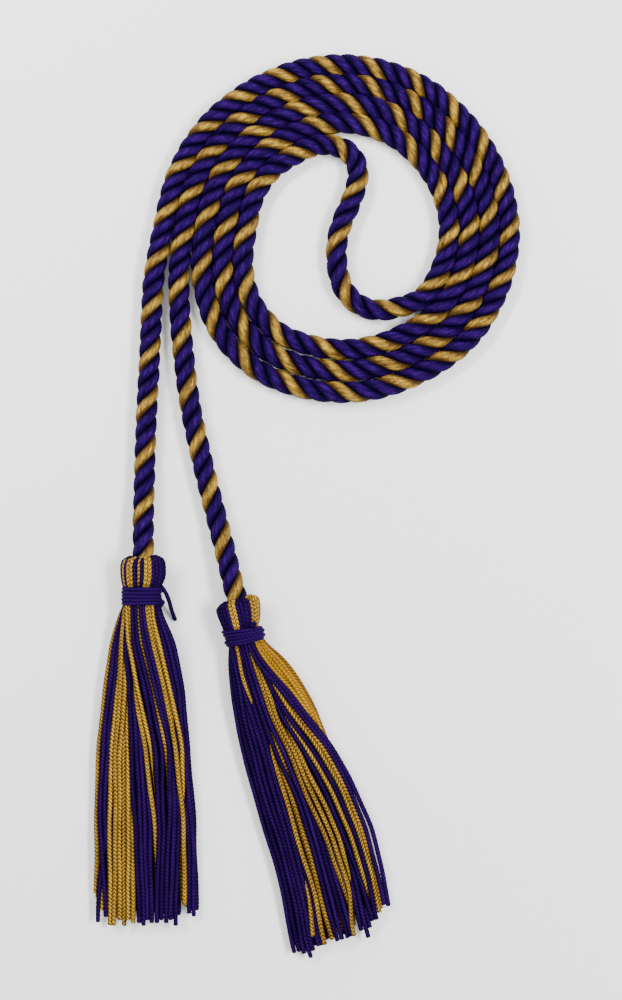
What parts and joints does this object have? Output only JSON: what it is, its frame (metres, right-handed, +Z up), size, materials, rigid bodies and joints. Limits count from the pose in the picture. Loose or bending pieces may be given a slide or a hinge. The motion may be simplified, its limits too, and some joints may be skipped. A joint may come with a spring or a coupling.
{
  "type": "honor cord",
  "caption": "Twisted two-colour rope laid flat in a round coil, its ends running down to tassels with folded heads, wound bindings and loose skirts.",
  "frame": {"origin": "on the floor under the middle of the bounding box of the laid-out cord", "axes": "+Z up from the floor, +Y from the tassels towards the coil, +X to the right seen from above"},
  "size_m": [0.141, 0.2973, 0.0135],
  "materials": {
    "purple_rayon": "soft silky sheen",
    "gold_rayon": "soft silky sheen",
    "binding_cord": "soft dull sheen"
  },
  "bodies": {
    "root": {"rope": "purple_rayon", "tassel_left_strands": "purple_rayon", "tassel_left_binding": "binding_cord", "tassel_right_strands": "purple_rayon", "tassel_right_binding": "binding_cord"}
  },
  "joints": []
}
